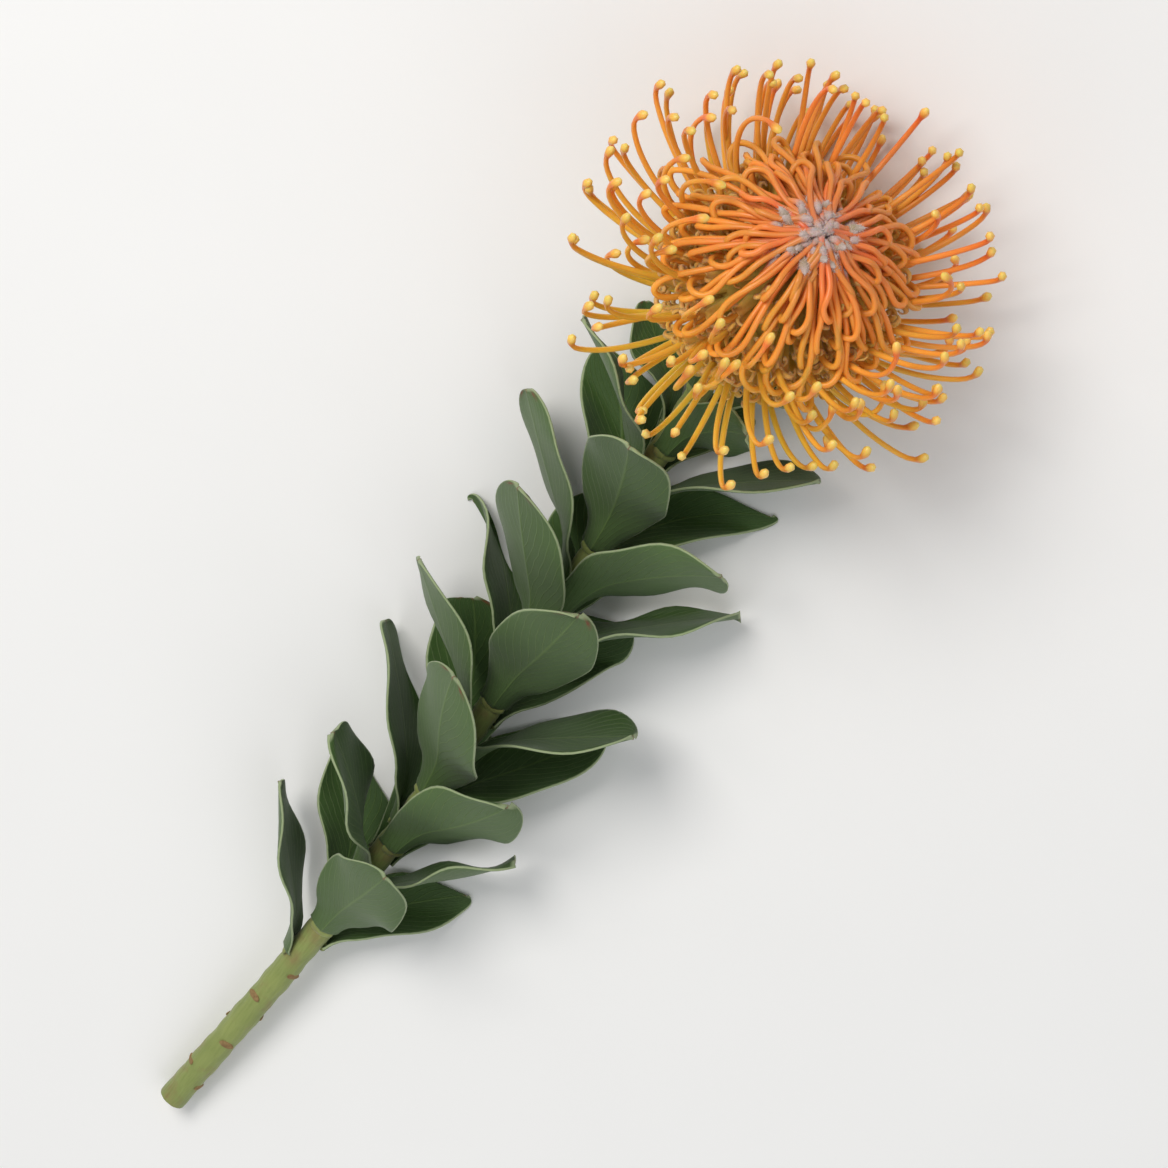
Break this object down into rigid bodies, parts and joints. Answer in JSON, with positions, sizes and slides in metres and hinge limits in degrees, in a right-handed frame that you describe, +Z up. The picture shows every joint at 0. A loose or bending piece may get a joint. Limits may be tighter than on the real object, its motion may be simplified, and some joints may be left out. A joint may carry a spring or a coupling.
{
  "type": "pincushion protea",
  "caption": "Cut pincushion protea lying down: woody stem with spiralling leaves, a bract cup and one orange flower head of looped and free styles.",
  "frame": {"origin": "centre of the bounding box's bottom face, on the table the flower lies on", "axes": "+Y runs along the stem from its cut end to the flower head, +Z is up from the table, +X is to the right seen from above with the head away"},
  "size_m": [0.1144, 0.3581, 0.0958],
  "materials": {
    "bloom": "satin",
    "bracts": "matt",
    "stem": "matt",
    "leaf": "matt"
  },
  "bodies": {
    "root": {"stem": "stem", "involucral_bracts": "bracts", "flower_head": "bloom", "leaf_01": "leaf", "leaf_02": "leaf", "leaf_03": "leaf", "leaf_04": "leaf", "leaf_05": "leaf", "leaf_06": "leaf", "leaf_07": "leaf", "leaf_08": "leaf", "leaf_09": "leaf", "leaf_10": "leaf", "leaf_11": "leaf", "leaf_12": "leaf", "leaf_13": "leaf", "leaf_14": "leaf", "leaf_15": "leaf", "leaf_16": "leaf", "leaf_17": "leaf", "leaf_18": "leaf", "leaf_19": "leaf", "leaf_20": "leaf", "leaf_21": "leaf", "leaf_22": "leaf", "leaf_23": "leaf", "leaf_24": "leaf", "leaf_25": "leaf", "leaf_26": "leaf", "leaf_27": "leaf", "leaf_28": "leaf", "leaf_29": "leaf", "leaf_30": "leaf", "leaf_31": "leaf", "leaf_32": "leaf", "leaf_33": "leaf"}
  },
  "joints": []
}
